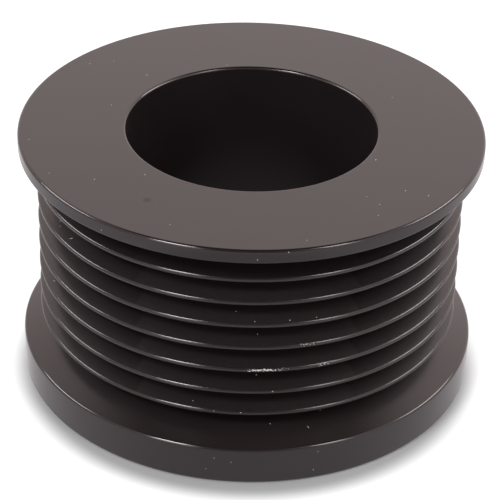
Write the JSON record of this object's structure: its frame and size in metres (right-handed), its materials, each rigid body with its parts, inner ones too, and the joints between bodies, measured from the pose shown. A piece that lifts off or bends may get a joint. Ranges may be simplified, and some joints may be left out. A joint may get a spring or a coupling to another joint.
{
  "type": "ribbed belt pulley",
  "caption": "Small black anodised pulley for a ribbed belt: V grooves between a thin front flange and a thick rear flange, on a plain through bore.",
  "frame": {"origin": "centre of the rear face, on the bore's axis", "axes": "+Z along the axis from the rear face to the front face; X and Y are alike"},
  "size_m": [0.065, 0.065, 0.0373],
  "materials": {
    "anodised_black": "black anodised, satin"
  },
  "bodies": {
    "root": {"pulley": "anodised_black"}
  },
  "joints": []
}
